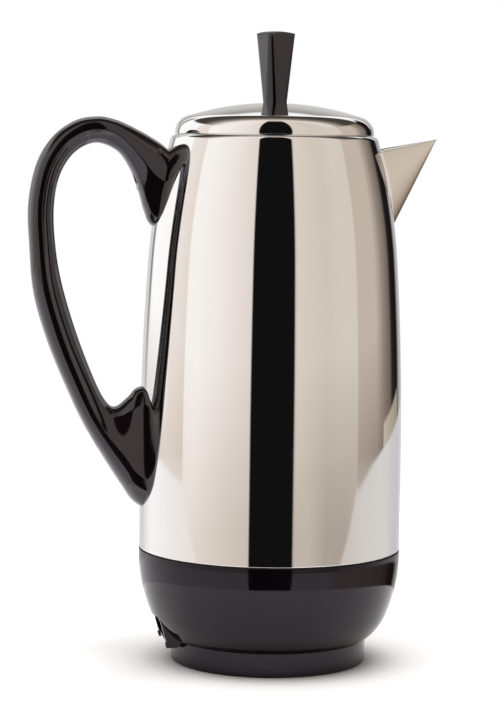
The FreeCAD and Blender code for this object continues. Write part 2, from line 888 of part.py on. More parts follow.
def handle_section(outer, inner, half, crease, flank, narrowed):
    """A closed section from an outer to an inner point: a full back, two straight flanks that meet it
    in a crease, where the section is widest, and a rounded inner side."""
    a, b = V(outer[0], 0, outer[1]), V(inner[0], 0, inner[1])

    def at(share, width):
        return a + (b - a) * share + V(0, width * half, 0)

    def spline(shares):
        curve = Part.BSplineCurve()
        mirrored = [(s, -w) for s, w in shares[-2::-1]]
        curve.interpolate([at(s, w) for s, w in shares + mirrored])
        return curve.toShape()

    back = spline([(crease, 1), (0.44 * crease, 0.9), (0.1 * crease, 0.5), (0, 0)])
    left = Part.makeLine(at(crease, -1), at(flank, -narrowed))
    rest = 1 - flank
    inside = spline([(flank, -narrowed), (1 - 0.2 * rest, -0.56 * narrowed), (1, 0)])
    right = Part.makeLine(at(flank, narrowed), at(crease, 1))
    return Part.Wire([back, left, inside, right])


def make_handle(envelope):
    sections = [handle_section(*station) for station in HANDLE_STATIONS]
    grip = Part.makeLoft(sections, True, False).cut(envelope)
    fittings = (
        # label, height of the screw, web of the bracket, seat of the head, mouth of the counterbore
        ("upper", "handle_screw_high_z", -64.2, -66.4, -76),
        ("lower", "handle_screw_low_z", -73.4, -77, -100),
    )
    for label, height_name, web_x, seat_x, mouth_x in fittings:
        z = value(height_name)
        thick, half, tall, play = 1.2, 5, 14, 0.2
        clip = Part.makeBox(-web_x, 2 * half, tall, V(web_x, -half, z - tall / 2))
        hollow = Part.makeBox(-web_x, 2 * (half - thick), tall, V(web_x + thick, thick - half, z - tall / 2))
        thread = round_bar(web_x - 1, web_x + 2 * thick, 0, z, 2)
        shaped(f"handle_bracket_{label}", clip.cut(hollow).cut(thread).cut(envelope))
        room = Part.makeBox(
            -web_x, 2 * (half + play), tall + 2 * play, V(web_x - play, -half - play, z - tall / 2 - play)
        )
        grip = grip.cut(room)
        grip = grip.cut(round_bar(web_x, seat_x, 0, z, 2.3))
        grip = grip.cut(round_bar(seat_x, mouth_x, 0, z, 4.2))
        shank = round_bar(seat_x, web_x + 4, 0, z, 2)
        head = round_bar(seat_x - 2.4, seat_x, 0, z, 3.7)
        slot = Part.makeBox(1.2, 5, 1, V(seat_x - 2.4, -2.5, z - 0.5))
        cross = Part.makeBox(1.2, 1, 5, V(seat_x - 2.4, -0.5, z - 2.5))
        shaped(f"handle_screw_{label}", head.fuse(shank).cut(slot).cut(cross).removeSplitter())
    shaped("handle", grip)


# ---------------------------------------------------------------- build, check and write


def check_document():
    for item in doc.Objects:
        if {"Invalid", "Error"} & set(item.State):
            raise ValueError(f"{item.Name} ({item.Label}) is in state {item.State}")
    for piece in sub_parts:
        shape = piece.Shape
        if shape.isNull() or not shape.isValid() or shape.Volume <= 0:
            raise ValueError(f"{piece.Label} has no valid solid")


def main():
    make_vessel()
    envelope = vessel_envelope()
    make_heater_well()
    make_spout(envelope)
    make_lid()
    make_knob()
    make_knob_fasteners()
    make_pump()
    make_basket()
    make_spreader()
    make_base_housing()
    make_base_fittings()
    make_heater()
    make_inlet()
    make_wiring()
    make_handle(envelope)
    doc.recompute()
    check_document()
    os.makedirs("parts", exist_ok=True)
    for piece in sub_parts:
        piece.Shape.exportStep(f"parts/{piece.Label}.step")
        print(f"{piece.Label}: {piece.Shape.Volume / 1000:.2f} cm3, {len(piece.Shape.Solids)} solid(s)")


main()
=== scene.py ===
"""The percolator's looks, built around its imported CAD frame.

Lengths are in metres, except in the mesh helpers and the shapes made with them, which are in millimetres.
"""

import json
import math

import bmesh
import bpy
from mathutils import Matrix, Vector


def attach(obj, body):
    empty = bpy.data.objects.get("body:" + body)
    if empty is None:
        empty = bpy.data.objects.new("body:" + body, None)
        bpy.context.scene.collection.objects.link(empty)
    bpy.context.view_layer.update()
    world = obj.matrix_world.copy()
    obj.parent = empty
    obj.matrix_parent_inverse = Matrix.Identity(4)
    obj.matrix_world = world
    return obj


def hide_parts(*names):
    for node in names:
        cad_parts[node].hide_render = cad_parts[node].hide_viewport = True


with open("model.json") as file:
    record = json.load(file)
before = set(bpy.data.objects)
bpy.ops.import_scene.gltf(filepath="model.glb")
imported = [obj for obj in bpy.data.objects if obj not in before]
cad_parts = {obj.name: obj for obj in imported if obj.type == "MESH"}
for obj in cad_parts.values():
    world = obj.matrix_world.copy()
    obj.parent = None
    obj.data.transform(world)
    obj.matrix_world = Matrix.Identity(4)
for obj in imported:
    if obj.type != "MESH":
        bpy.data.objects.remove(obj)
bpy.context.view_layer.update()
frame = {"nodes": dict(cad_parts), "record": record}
NODES = frame["nodes"]
scene = bpy.context.scene


# ------------------------------------------------------------------ camera

CAMERA_TURN = math.radians(10)  # how far the camera stands round from the side view, toward the handle
CAMERA_DISTANCE = 1.1635
CAMERA_HEIGHT = 0.2533
CAMERA_TILT = math.radians(-4.98)
CAMERA_AIM = math.radians(0.531)  # the pot stands a little right of the middle
CAMERA_ROLL = math.radians(0.746)
CAMERA_LENS = 116.43


def make_camera():
    data = bpy.data.cameras.new("camera")
    data.sensor_width = 36
    data.lens = CAMERA_LENS
    data.clip_start = 0.05
    data.clip_end = 50
    camera = bpy.data.objects.new("camera", data)
    scene.collection.objects.link(camera)
    side, front = math.sin(CAMERA_TURN), math.cos(CAMERA_TURN)
    place = Vector((-side * CAMERA_DISTANCE, -front * CAMERA_DISTANCE, CAMERA_HEIGHT))
    turn = Matrix.Rotation(-CAMERA_TURN + CAMERA_AIM, 4, "Z")
    tilt = Matrix.Rotation(math.pi / 2 + CAMERA_TILT, 4, "X")
    roll = Matrix.Rotation(CAMERA_ROLL, 4, "Z")
    camera.matrix_world = Matrix.Translation(place) @ turn @ tilt @ roll
    scene.camera = camera


# ------------------------------------------------------------------ node helpers


def linear(colour):
    """An 8-bit screen colour as scene light."""
    shares = [c / 255 for c in colour]
    return tuple(s / 12.92 if s <= 0.04045 else ((s + 0.055) / 1.055) ** 2.4 for s in shares)


class Graph:
    """A short way to add nodes to a tree and join them. Where a node's input is set, a plain value goes
    straight on the socket and another node's output is linked to it."""

    def __init__(self, tree):
        self.tree = tree

    def node(self, kind, settings=None, **inputs):
        """Adds a node. Its inputs go by name, or by place as i0, i1 and so on."""
        node = self.tree.nodes.new(kind)
        for name, item in (settings or {}).items():
            setattr(node, name, item)
        for name, item in inputs.items():
            key = int(name[1:]) if name[0] == "i" and name[1:].isdigit() else name.replace("_", " ")
            self.put(node.inputs[key], item)
        return node

    def put(self, socket, item):
        if isinstance(item, bpy.types.NodeSocket):
            self.tree.links.new(item, socket)
        else:
            socket.default_value = item

    def math(self, operation, *items, clamp=False):
        node = self.tree.nodes.new("ShaderNodeMath")
        node.operation = operation
        node.use_clamp = clamp
        for socket, item in zip(node.inputs, items):
            self.put(socket, item)
        return node.outputs[0]

    def ramp(self, factor, stops, interpolation="LINEAR"):
        node = self.tree.nodes.new("ShaderNodeValToRGB")
        node.color_ramp.interpolation = interpolation
        elements = node.color_ramp.elements
        while len(elements) > 1:
            elements.remove(elements[0])
        elements[0].position = stops[0][0]
        elements[0].color = stops[0][1]
        for place, colour in stops[1:]:
            elements.new(place).color = colour
        self.put(node.inputs[0], factor)
        return node.outputs[0]

    def mix(self, factor, a, b):
        node = self.tree.nodes.new("ShaderNodeMix")
        node.data_type = "RGBA"
        self.put(node.inputs["Factor"], factor)
        colours = [s for s in node.inputs if s.type == "RGBA"]
        self.put(colours[0], a)
        self.put(colours[1], b)
        return [s for s in node.outputs if s.type == "RGBA"][0]

    def between(self, value, low, high):
        """0 below low, 1 above high and smooth between."""
        node = self.node("ShaderNodeMapRange", {"interpolation_type": "SMOOTHSTEP"})
        self.put(node.inputs["Value"], value)
        self.put(node.inputs["From Min"], low)
        self.put(node.inputs["From Max"], high)
        return node.outputs["Result"]


# ------------------------------------------------------------------ studio

STUDIO_LIGHT = 1.13
PAPER_WHITE = 1.0  # what the camera sees behind the pot

# The room as the polished wall shows it, at three heights: (degrees above the horizon, stops), and each
# stop is (degrees round from the camera, screen colour). Panels stand left and right of a dark gap.
GAP = ((-17.2, (17, 16, 17)), (20.6, (17, 16, 17)))
ROOM = (
    (
        -1,
        (-180, (240, 240, 240)), (-165, (205, 204, 202)), (-152, (208, 206, 204)),
        (-149.5, (136, 134, 130)), (-145.5, (126, 124, 120)), (-143, (240, 239, 237)),
        (-140, (252, 252, 251)), (-104, (250, 249, 248)), (-102.5, (234, 227, 222)),
        (-92, (231, 223, 217)), (-82.5, (228, 216, 207)), (-81.5, (246, 242, 239)),
        (-70, (245, 241, 238)), (-45, (238, 230, 226)), (-17.8, (223, 213, 206)), *GAP,
        (21.2, (216, 206, 195)), (50, (206, 196, 185)), (66, (211, 201, 192)), (82, (209, 200, 189)),
        (82.8, (193, 180, 166)), (106, (192, 180, 168)), (118, (146, 134, 124)), (131, (102, 93, 86)),
        (133, (48, 42, 41)), (138, (25, 20, 21)), (147.5, (26, 22, 22)), (149.5, (74, 71, 72)),
        (154, (164, 163, 164)), (166, (186, 186, 187)), (180, (238, 238, 238)),
    ),
    (
        -7,
        (-180, (225, 225, 225)), (-150, (205, 204, 203)), (-102, (222, 209, 200)),
        (-82.5, (212, 200, 189)), (-81.5, (236, 227, 220)), (-70, (238, 230, 225)),
        (-45, (224, 214, 209)), (-17.8, (212, 200, 191)), *GAP, (21.2, (207, 195, 184)),
        (50, (187, 177, 167)), (66, (189, 179, 169)), (82, (187, 175, 165)), (82.8, (166, 154, 141)),
        (106, (150, 138, 127)), (118, (125, 113, 103)), (131, (95, 88, 82)), (133, (48, 42, 41)),
        (147.5, (26, 22, 22)), (149.5, (120, 118, 116)), (156, (165, 164, 163)),
        (180, (225, 225, 225)),
    ),
    (
        -9.4,
        (-180, (225, 225, 225)), (-82, (232, 222, 218)), (-72, (225, 216, 209)),
        (-45, (212, 202, 193)), (-17.8, (201, 188, 179)), *GAP, (21.2, (192, 180, 170)),
        (35, (189, 179, 168)), (50, (170, 160, 148)), (70, (169, 158, 149)), (90, (190, 182, 176)),
        (180, (225, 225, 225)),
    ),
)
# The white sweep under the panels: its colour round the room, and the height of its far edge in degrees,
# which drops out of sight in the dark gap.
SWEEP = (
    (-180, (216, 216, 217)), (-150, (206, 206, 206)), (-140, (228, 228, 228)), (-128, (246, 245, 245)),
    (-110, (242, 240, 239)), (-85, (235, 228, 226)), (-60, (230, 222, 220)), (60, (196, 188, 184)),
    (74, (201, 195, 189)), (90, (208, 202, 199)), (112, (211, 207, 204)), (126, (208, 206, 204)),
    (136, (199, 197, 198)), (150, (193, 191, 194)), (165, (204, 203, 206)), (180, (216, 216, 217)),
)
SWEEP_EDGE = (
    (-180, -7.0), (-150, -7.4), (-112, -7.45), (-82, -8.05), (-80, -8.4), (-75, -9.2), (-68, -9.8),
    (-60, -10.6), (-17.5, -10.6), (-17.1, -29), (20.5, -29), (20.9, -10.6), (60, -10.6), (66, -9.9),
    (73, -9.3), (79, -8.5), (82, -8.1), (86, -8.05), (117.5, -6.85), (147.5, -6.0), (180, -5.3),
)
DEEPEST = -30  # the lowest height that the far edge's ramp can hold
# The table nearer than the sweep's front edge, which only the spout and the base see, and the height
# where it starts.
TABLE_TOP = -10.7
TABLE = (
    (-180, (247, 244, 248)), (52, (247, 244, 248)), (62, (226, 212, 200)), (84, (220, 205, 191)),
    (86, (206, 192, 178)), (106, (172, 156, 141)), (122, (124, 106, 92)), (134, (52, 43, 38)),
    (146, (40, 33, 31)), (152, (190, 184, 182)), (180, (247, 244, 248)),
)
BOX = (117.5, 147.8, 1.12)  # a dull box on the sweep: from, to and height in degrees
BOX_SHADES = ((188, 179, 163), (149, 140, 124))
# The ceiling, by how far a direction leans away from the camera (-1 to 1). It starts above the panels at
# the first height (0 to 1) and hangs lower by the second straight across the room.
CEILING_START = (0.53, 0.38)
CEILING = (
    (-0.35, (232, 225, 219)), (-0.18, (226, 217, 210)), (0, (152, 143, 136)), (0.2, (84, 77, 71)),
    (0.34, (66, 60, 54)), (0.62, (66, 61, 56)), (0.67, (252, 251, 250)), (0.84, (250, 249, 248)),
    (0.868, (150, 147, 142)), (0.9, (170, 167, 163)), (0.935, (190, 188, 185)), (1, (202, 202, 203)),
)


def make_world():
    """Soft panels round the pot, with a dark gap where the camera stands. Camera rays see plain white."""
    world = bpy.data.worlds.new("studio")
    scene.world = world
    world.use_nodes = True
    graph = Graph(world.node_tree)
    world.node_tree.nodes.clear()
    away = graph.node("ShaderNodeTexCoord").outputs["Generated"]
    side, front = math.sin(CAMERA_TURN), math.cos(CAMERA_TURN)

    def along(direction):
        """How far the looked-at direction points along another, -1 to 1."""
        node = graph.node("ShaderNodeVectorMath", {"operation": "DOT_PRODUCT"}, i0=away, i1=direction)
        return node.outputs["Value"]

    def edge(value, limit, softness):
        """0 below the limit and 1 above it, over the softness."""
        past = graph.math("SUBTRACT", value, limit)
        return graph.math("MULTIPLY_ADD", past, 1 / softness, 0.5, clamp=True)

    def ring(stops):
        """The colour at this turn round the room, from stops of degrees and screen colour."""
        return graph.ramp(place, [(d / 360 + 0.5, linear(c) + (1,)) for d, c in stops])

    to_camera, to_right, up = along((-side, -front, 0)), along((front, -side, 0)), along((0, 0, 1))
    turn = graph.math("MULTIPLY", graph.math("ARCTAN2", to_right, to_camera), 180 / math.pi)
    height = graph.math("MULTIPLY", graph.math("ARCSINE", up), 180 / math.pi)
    place = graph.math("MULTIPLY_ADD", turn, 1 / 360, 0.5)
    colour, last = ring(ROOM[0][1:]), ROOM[0][0]
    for level, *stops in ROOM[1:]:
        fall = graph.math("SUBTRACT", 1, edge(height, (level + last) / 2, last - level), clamp=True)
        colour, last = graph.mix(fall, colour, ring(stops)), level
    far = graph.ramp(place, [(d / 360 + 0.5, (h / DEEPEST,) * 3 + (1,)) for d, h in SWEEP_EDGE])
    far = graph.math("MULTIPLY", far, DEEPEST)
    start, end, tall = BOX
    in_box = graph.math("MULTIPLY", edge(turn, start, 1), graph.math("SUBTRACT", 1, edge(turn, end, 1)))
    under = graph.math("SUBTRACT", 1, edge(height, graph.math("ADD", far, tall), 0.2))
    across = edge(turn, (start + end) / 2, end - start)
    shade = graph.mix(across, *(linear(c) + (1,) for c in BOX_SHADES))
    colour = graph.mix(graph.math("MULTIPLY", in_box, under), colour, shade)
    near = edge(TABLE_TOP, height, 0.3)
    colour = graph.mix(edge(far, height, 0.16), colour, graph.mix(near, ring(SWEEP), ring(TABLE)))
    back = graph.math("MULTIPLY", to_camera, -1)
    ceiling = graph.ramp(
        graph.math("MULTIPLY_ADD", back, 0.5, 0.5), [(b / 2 + 0.5, linear(c) + (1,)) for b, c in CEILING]
    )
    lowest = graph.math("MULTIPLY_ADD", edge(back, 0.82, 0.05), -CEILING_START[1], CEILING_START[0])
    over = graph.math("MULTIPLY", edge(up, lowest, 0.06), edge(back, -0.25, 0.2))
    colour = graph.mix(over, colour, ceiling)
    room = graph.node("ShaderNodeBackground", Color=colour, Strength=STUDIO_LIGHT)
    white = graph.node("ShaderNodeBackground", Color=(1, 1, 1, 1), Strength=PAPER_WHITE)
    path = graph.node("ShaderNodeLightPath")
    pick = graph.node("ShaderNodeMixShader", Fac=path.outputs["Is Camera Ray"])
    graph.put(pick.inputs[1], room.outputs[0])
    graph.put(pick.inputs[2], white.outputs[0])
    out = graph.node("ShaderNodeOutputWorld")
    graph.put(out.inputs["Surface"], pick.outputs[0])


# The overhead lamp, and the radius of the floor's near disc and of its outer edge
LAMP_HEIGHT = 1.6
LAMP_ACROSS = 1.6
LAMP_WATTS = 36
FLOOR_NEAR = 0.176
FLOOR_WIDE = 0.62
FLOOR_SIDES = 96


def make_lights():
    """One wide soft lamp overhead that lights the floor white. Mirrored surfaces see only the room."""
    data = bpy.data.lights.new("overhead", "AREA")
    data.shape = "DISK"
    data.size = LAMP_ACROSS
    data.energy = LAMP_WATTS
    lamp = bpy.data.objects.new("overhead", data)
    scene.collection.objects.link(lamp)
    lamp.location = (0, 0, LAMP_HEIGHT)
    lamp.visible_glossy = False


def make_floor(material):
    """A near disc that the pot's base mirrors, and the floor round it, which reflections skip."""
    turns = [2 * math.pi * k / FLOOR_SIDES for k in range(FLOOR_SIDES)]
    for name, inner, outer in (("floor_near", 0, FLOOR_NEAR), ("floor_wide", FLOOR_NEAR, FLOOR_WIDE)):
        mesh = bpy.data.meshes.new(name)
        bm = bmesh.new()
        rings = []
        for radius in (inner, outer):
            if radius:
                rings.append([bm.verts.new((radius * math.cos(t), radius * math.sin(t), 0)) for t in turns])
        if len(rings) == 1:
            bm.faces.new(rings[0])
        else:
            for k in range(FLOOR_SIDES):
                bm.faces.new((rings[0][k - 1], rings[1][k - 1], rings[1][k], rings[0][k]))
        bm.to_mesh(mesh)
        bm.free()
        floor = bpy.data.objects.new(name, mesh)
        mesh.materials.append(material)
        scene.collection.objects.link(floor)
        floor.visible_glossy = inner == 0


# ------------------------------------------------------------------ materials


class Finish(Graph):
    """A material's node tree, with the noises that its colour, roughness and relief are made of.

    The finish is named for the CAD's material slot that it goes on.
    """

    def __init__(self, name, **inputs):
        self.slot = name
        self.material = bpy.data.materials.new(name + "_finish")
        self.material.use_nodes = True
        super().__init__(self.material.node_tree)
        self.shader = self.material.node_tree.nodes["Principled BSDF"]
        self.where = self.node("ShaderNodeTexCoord").outputs["Object"]
        self.set(**inputs)

    def set(self, **inputs):
        """Sets inputs of the material's shader."""
        for key, item in inputs.items():
            self.put(self.shader.inputs[key.replace("_", " ")], item)

    def stretched(self, x, y, z):
        """The object's coordinates, scaled along each axis."""
        return self.node("ShaderNodeMapping", i0=self.where, Scale=(x, y, z)).outputs[0]

    def noise(self, scale, detail=2, roughness=0.5, vector=None):
        node = self.node("ShaderNodeTexNoise", Scale=scale, Detail=detail, Roughness=roughness)
        self.put(node.inputs["Vector"], self.where if vector is None else vector)
        return node.outputs["Fac"]

    def spots(self, scale, size, share):
        """Small round spots of that size, in that share of the cells of a sparse grid."""
        cells = self.node("ShaderNodeTexVoronoi", {"feature": "F1"}, Vector=self.where, Scale=scale)
        near = self.math("SUBTRACT", 1, self.between(cells.outputs["Distance"], size * 0.5, size))
        split = self.node("ShaderNodeSeparateColor", Color=cells.outputs["Color"])
        chosen = self.math("LESS_THAN", split.outputs[0], share)
        return self.math("MULTIPLY", near, chosen)

    def spread(self, value, low, high):
        """The noise value, stretched over low to high."""
        node = self.node("ShaderNodeMapRange")
        ends = {"Value": value, "From Min": 0.3, "From Max": 0.7, "To Min": low, "To Max": high}
        for key, item in ends.items():
            self.put(node.inputs[key], item)
        return node.outputs["Result"]

    def relief(self, height, distance, strength=1.0):
        bump = self.node("ShaderNodeBump", Height=height, Distance=distance, Strength=strength)
        self.set(Normal=bump.outputs["Normal"])


def polished_steel():
    """Mirror-polished stainless: faint buffing lines round the pot, smudges and a few tiny pits."""
    finish = Finish("polished_steel", Metallic=1.0)
    lines = finish.noise(1, 3, 0.6, finish.stretched(9, 9, 2600))
    smudge = finish.noise(38, 4, 0.6)
    pits = finish.spots(190, 0.055, 0.03)
    worn = finish.math("MULTIPLY", finish.between(smudge, 0.58, 0.72), 0.022)
    finish.set(Roughness=finish.math("ADD", finish.spread(lines, 0.018, 0.034), worn))
    clean = finish.mix(finish.spread(smudge, 0, 1), (0.872, 0.866, 0.855, 1), (0.888, 0.884, 0.876, 1))
    finish.set(Base_Color=finish.mix(pits, clean, (0.3, 0.27, 0.25, 1)))
    grooves, hollows = finish.math("MULTIPLY", lines, 0.012), finish.math("MULTIPLY", pits, 0.5)
    finish.relief(finish.math("SUBTRACT", grooves, hollows), 0.00006)
    return finish


def brushed_metal(name, colour, low, high, grain):
    """Metal with a brushed grain, a few scratches and duller patches."""
    finish = Finish(name, Metallic=1.0)
    lines = finish.noise(1, 4, 0.65, finish.stretched(*grain))
    patch = finish.noise(60, 3)
    finish.set(Roughness=finish.math("ADD", finish.spread(lines, low, high), finish.spread(patch, 0, 0.05)))
    dark = tuple(c * 0.86 for c in colour) + (1,)
    finish.set(Base_Color=finish.mix(finish.spread(patch, 0, 1), dark, colour + (1,)))
    finish.relief(lines, 0.00004, 0.5)
    return finish


def phenolic():
    """Moulded phenolic, black with a brown-red cast, glossy, with faint flow marks and handling wear."""
    finish = Finish("phenolic")
    flow = finish.noise(24, 4, 0.55, finish.stretched(1, 3, 1))
    fine = finish.noise(900, 2)
    specks = finish.spots(110, 0.035, 0.04)
    tint = finish.mix(finish.spread(flow, 0, 1), (0.0028, 0.0016, 0.002, 1), (0.0062, 0.0034, 0.0042, 1))
    finish.set(Base_Color=finish.mix(specks, tint, (0.02, 0.012, 0.011, 1)))
    dulled = finish.spread(fine, 0, 0.015)
    finish.set(Roughness=finish.math("ADD", finish.spread(flow, 0.05, 0.085), dulled))
    finish.set(IOR=1.66, Specular_Tint=(0.96, 0.93, 1, 1))
    finish.relief(finish.math("ADD", flow, finish.math("MULTIPLY", fine, 0.05)), 0.00012, 0.35)
    return finish


def satin_plastic():
    """The base's smooth moulded plastic, near black with a purple cast, dulled in faint bands by wiping."""
    finish = Finish("satin_plastic")
    cloud = finish.noise(30, 4)
    fine = finish.noise(1300, 2)
    wiped = finish.noise(1, 3, 0.6, finish.stretched(14, 14, 700))
    dark, light = (0.0018, 0.0011, 0.0019, 1), (0.0032, 0.002, 0.0034, 1)
    finish.set(Base_Color=finish.mix(finish.spread(cloud, 0, 1), dark, light))
    dulled = finish.spread(wiped, 0.035, 0.055)
    finish.set(Roughness=finish.math("ADD", dulled, finish.spread(cloud, 0, 0.02)))
    finish.set(IOR=1.41, Specular_Tint=(1, 0.86, 1, 1))
    finish.relief(finish.math("ADD", cloud, finish.math("MULTIPLY", fine, 0.03)), 0.0001, 0.3)
    return finish


def rubber():
    """Black rubber with a fine grain and a pale bloom."""
    finish = Finish("gasket_rubber")
    grain = finish.noise(1600, 3)
    bloom = finish.noise(90, 3)
    dark, light = (0.008, 0.008, 0.008, 1), (0.02, 0.019, 0.018, 1)
    finish.set(Base_Color=finish.mix(finish.spread(bloom, 0, 1), dark, light))
    finish.set(Roughness=finish.spread(grain, 0.5, 0.72))
    finish.relief(grain, 0.0001, 0.6)
    return finish


def cast_body(name, light, dark, scale):
    """Pressed ceramic or cement: grainy, with darker flecks."""
    finish = Finish(name)
    grain = finish.noise(scale, 5, 0.65)
    flecks = finish.spots(scale * 1.4, 0.22, 0.2)
    ground = finish.mix(finish.spread(grain, 0, 1), dark + (1,), light + (1,))
    finish.set(Base_Color=finish.mix(flecks, ground, tuple(c * 0.6 for c in dark) + (1,)))
    finish.set(Roughness=finish.spread(grain, 0.55, 0.8))
    finish.relief(grain, 0.00025, 0.5)
    return finish


def lead_sleeve():
    """Woven glass sleeving: crossed diagonal threads."""
    finish = Finish("lead_sleeve")
    threads = []
    for lean in (1, -1):
        turn = (0, 0, lean * math.pi / 4)
        vector = finish.node("ShaderNodeMapping", i0=finish.where, Rotation=turn).outputs[0]
        wave = finish.node("ShaderNodeTexWave", {"bands_direction": "X"}, Vector=vector, Scale=420)
        finish.put(wave.inputs["Distortion"], 0.6)
        threads.append(wave.outputs["Fac"])
    weave = finish.math("MAXIMUM", *threads)
    finish.set(Base_Color=finish.mix(weave, (0.46, 0.42, 0.35, 1), (0.8, 0.77, 0.7, 1)))
    finish.set(Roughness=finish.spread(weave, 0.75, 0.9))
    finish.relief(weave, 0.00015, 0.7)
    return finish


def floor_card():
    """Plain white card with a fine tooth."""
    finish = Finish("floor")
    tooth = finish.noise(700, 3)
    finish.set(Base_Color=finish.mix(tooth, (0.92, 0.92, 0.92, 1), (0.945, 0.945, 0.945, 1)))
    finish.set(Roughness=finish.spread(tooth, 0.86, 0.95))
    return finish


def make_materials():
    """Every finish's material, by the name of its slot."""
    finishes = (
        polished_steel(),
        brushed_metal("plain_steel", (0.62, 0.61, 0.6), 0.2, 0.34, (40, 40, 1500)),
        brushed_metal("aluminium", (0.82, 0.82, 0.83), 0.24, 0.36, (60, 60, 1100)),
        phenolic(),
        satin_plastic(),
        rubber(),
        cast_body("heater_body", (0.62, 0.57, 0.5), (0.42, 0.38, 0.33), 260),
        cast_body("ceramic_body", (0.8, 0.76, 0.68), (0.66, 0.61, 0.53), 340),
        brushed_metal("plated_pin", (0.78, 0.73, 0.62), 0.14, 0.26, (1400, 60, 60)),
        lead_sleeve(),
        floor_card(),
    )
    return {finish.slot: finish.material for finish in finishes}


# ------------------------------------------------------------------ mesh helpers, in millimetres

MM = 0.001
FINE_TURN = 0.07  # the most an arc turns between two points, in radians
FINE_CHORD = 5  # the longest step along an arc
LATHE_SIDES = 192
BAR_SIDES = 40
ROUND_PARTS = 4  # how many short runs a softened corner gets


def arc_run(a, b, radius):
    """Points from a up to b, without b, on an arc. A positive radius turns left."""
    across, up = b[0] - a[0], b[1] - a[1]
    chord = math.hypot(across, up)
    turn = 1 if radius > 0 else -1
    rise = math.sqrt(radius**2 - chord**2 / 4) * turn / chord
    centre = ((a[0] + b[0]) / 2 - up * rise, (a[1] + b[1]) / 2 + across * rise)
    start = math.atan2(a[1] - centre[1], a[0] - centre[0])
    sweep = 2 * math.asin(chord / 2 / abs(radius)) * turn
    steps = max(math.ceil(abs(sweep) / FINE_TURN), math.ceil(chord / FINE_CHORD))
    angles = [start + sweep * k / steps for k in range(steps)]
    return [(centre[0] + abs(radius) * math.cos(t), centre[1] + abs(radius) * math.sin(t)) for t in angles]


def outline(corners):
    """Closes a chain of corners (x, y) or (x, y, radius), where a radius bends the edge that leaves it."""
    points = []
    for i, corner in enumerate(corners):
        following = corners[(i + 1) % len(corners)]
        points += [corner] if len(corner) == 2 else arc_run(corner[:2], following[:2], corner[2])
    return points


def soften(points, amount, least=25):
    """The closed outline with every corner that turns more than the least degrees rounded a little.

    A point on each side of the corner keeps the shading of the long runs flat up to it.
    """
    result = []
    for i, here in enumerate(points):
        here = Vector(here)
        back = Vector(points[i - 1]) - here
        onward = Vector(points[(i + 1) % len(points)]) - here
        if math.degrees(math.pi - back.angle(onward)) < least:
            result.append(tuple(here))
            continue
        a = here + back.normalized() * min(amount, back.length * 0.3)
        b = here + onward.normalized() * min(amount, onward.length * 0.3)
        result.append(tuple(here + back.normalized() * min(1.6 * amount, back.length * 0.45)))
        for k in range(ROUND_PARTS + 1):
            t = k / ROUND_PARTS
            result.append(tuple(a * (1 - t) ** 2 + here * 2 * t * (1 - t) + b * t**2))
        result.append(tuple(here + onward.normalized() * min(1.6 * amount, onward.length * 0.45)))
    return result


def turned(bm, profile, segments=LATHE_SIDES):
    """Adds the closed outline (radius, height) turned about the vertical axis."""
    angles = [2 * math.pi * k / segments for k in range(segments)]
    rings = []
    for radius, height in profile:
        if radius < 1e-6:
            rings.append([bm.verts.new((0, 0, height * MM))] * segments)
            continue
        place = [(radius * MM * math.cos(t), radius * MM * math.sin(t), height * MM) for t in angles]
        rings.append([bm.verts.new(p) for p in place])
    for i, ring in enumerate(rings):
        before = rings[i - 1]
        for k in range(segments):
            corners = []
            for vert in (before[k - 1], before[k], ring[k], ring[k - 1]):
                if vert not in corners:
                    corners.append(vert)
            if len(corners) > 2:
                bm.faces.new(corners)


def bridged(bm, loops):
    """Joins a row of closed loops of points (x, y, z), with a cap at both ends."""
    rows = [[bm.verts.new([c * MM for c in point]) for point in loop] for loop in loops]
    count = len(rows[0])
    for low, high in zip(rows, rows[1:]):
        for k in range(count):
            bm.faces.new((low[k - 1], low[k], high[k], high[k - 1]))
    for row in (rows[0], rows[-1]):
        bm.faces.new(row)


def cut(piece, tools):
    """Takes each tool's solid away from the piece."""
    for bm in tools:
        tool = loose_object("tool", bm)
        step = piece.modifiers.new("cut", "BOOLEAN")
        step.operation = "DIFFERENCE"
        step.solver = "EXACT"
        step.object = tool
        depsgraph = bpy.context.evaluated_depsgraph_get()
        mesh = bpy.data.meshes.new_from_object(piece.evaluated_get(depsgraph))
        piece.modifiers.remove(step)
        mesh.name = piece.name
        piece.data = mesh
        bpy.data.objects.remove(tool)


def loose_object(name, bm):
    """An object in the scene made of the mesh, with its faces turned outwards."""
    bmesh.ops.recalc_face_normals(bm, faces=bm.faces)
    mesh = bpy.data.meshes.new(name)
    bm.to_mesh(mesh)
    bm.free()
    piece = bpy.data.objects.new(name, mesh)
    scene.collection.objects.link(piece)
    return piece


def finish_piece(piece, slot, body, *stands_for, sharp=40):
    """Smooths the piece between its sharp edges, gives it its material and puts it on its body."""
    mesh = piece.data
    mesh.materials.clear()
    mesh.materials.append(MATERIALS[slot])
    mesh.shade_smooth()
    mesh.set_sharp_from_angle(angle=math.radians(sharp))
    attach(piece, body)
    if stands_for:
        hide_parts(*stands_for)


def bar(bm, axis_from, axis_to, radius, segments=BAR_SIDES):
    """Adds a round bar along x between two points (x, y, z)."""
    angles = [2 * math.pi * k / segments for k in range(segments)]
    loops = []
    for x, y, z in (axis_from, axis_to):
        loops.append([(x, y + radius * math.cos(t), z + radius * math.sin(t)) for t in angles])
    bridged(bm, loops)
    return bm


def block(bm, low, high):
    """Adds a box between two corners."""
    loops = []
    for z in (low[2], high[2]):
        corners = ((low[0], low[1]), (high[0], low[1]), (high[0], high[1]), (low[0], high[1]))
        loops.append([(x, y, z) for x, y in corners])
    bridged(bm, loops)
    return bm


# ------------------------------------------------------------------ vessel

VESSEL_TOP = 264
VESSEL_WIDEST = 65.75
WALL_LOW = 57.4
